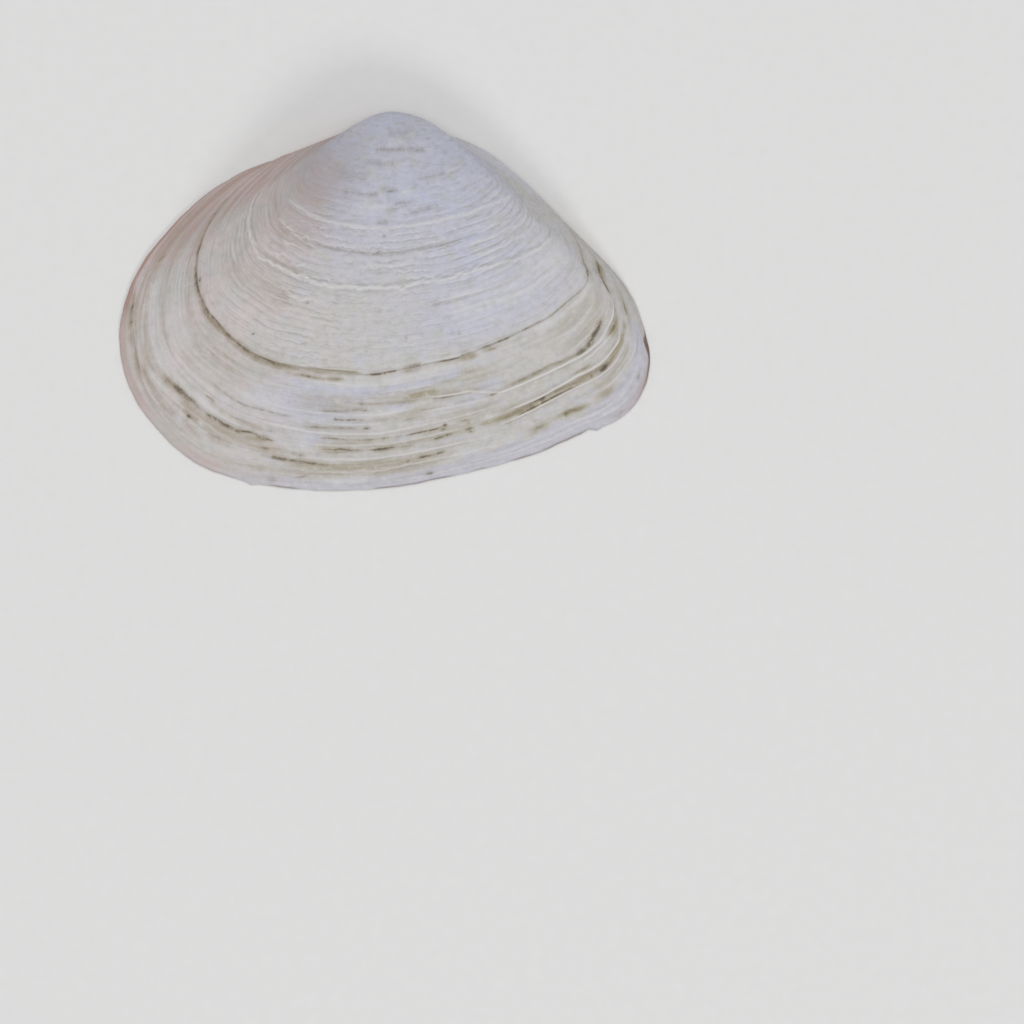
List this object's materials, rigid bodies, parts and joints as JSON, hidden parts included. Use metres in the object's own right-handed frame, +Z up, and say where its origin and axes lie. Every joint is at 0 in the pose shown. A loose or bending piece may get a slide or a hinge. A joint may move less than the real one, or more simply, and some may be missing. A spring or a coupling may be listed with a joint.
{
  "type": "clam shell",
  "caption": "One valve of a chalky clam: a low oval dome with a beak, concentric growth ledges, a flat rim and a hollow inside",
  "frame": {"origin": "on the ground under the middle of the valve's bounding box, with the valve lying on its rim, outside up", "axes": "+X to the narrow rear end, along the length; +Y to the beak and hinge; +Z up, out of the dome"},
  "size_m": [0.045, 0.0322, 0.0082],
  "materials": {
    "shell": "dry chalky matte outside with olive-brown stains in the growth grooves, smooth white with a soft gloss inside"
  },
  "bodies": {
    "root": {"left_valve": "shell"}
  },
  "joints": []
}
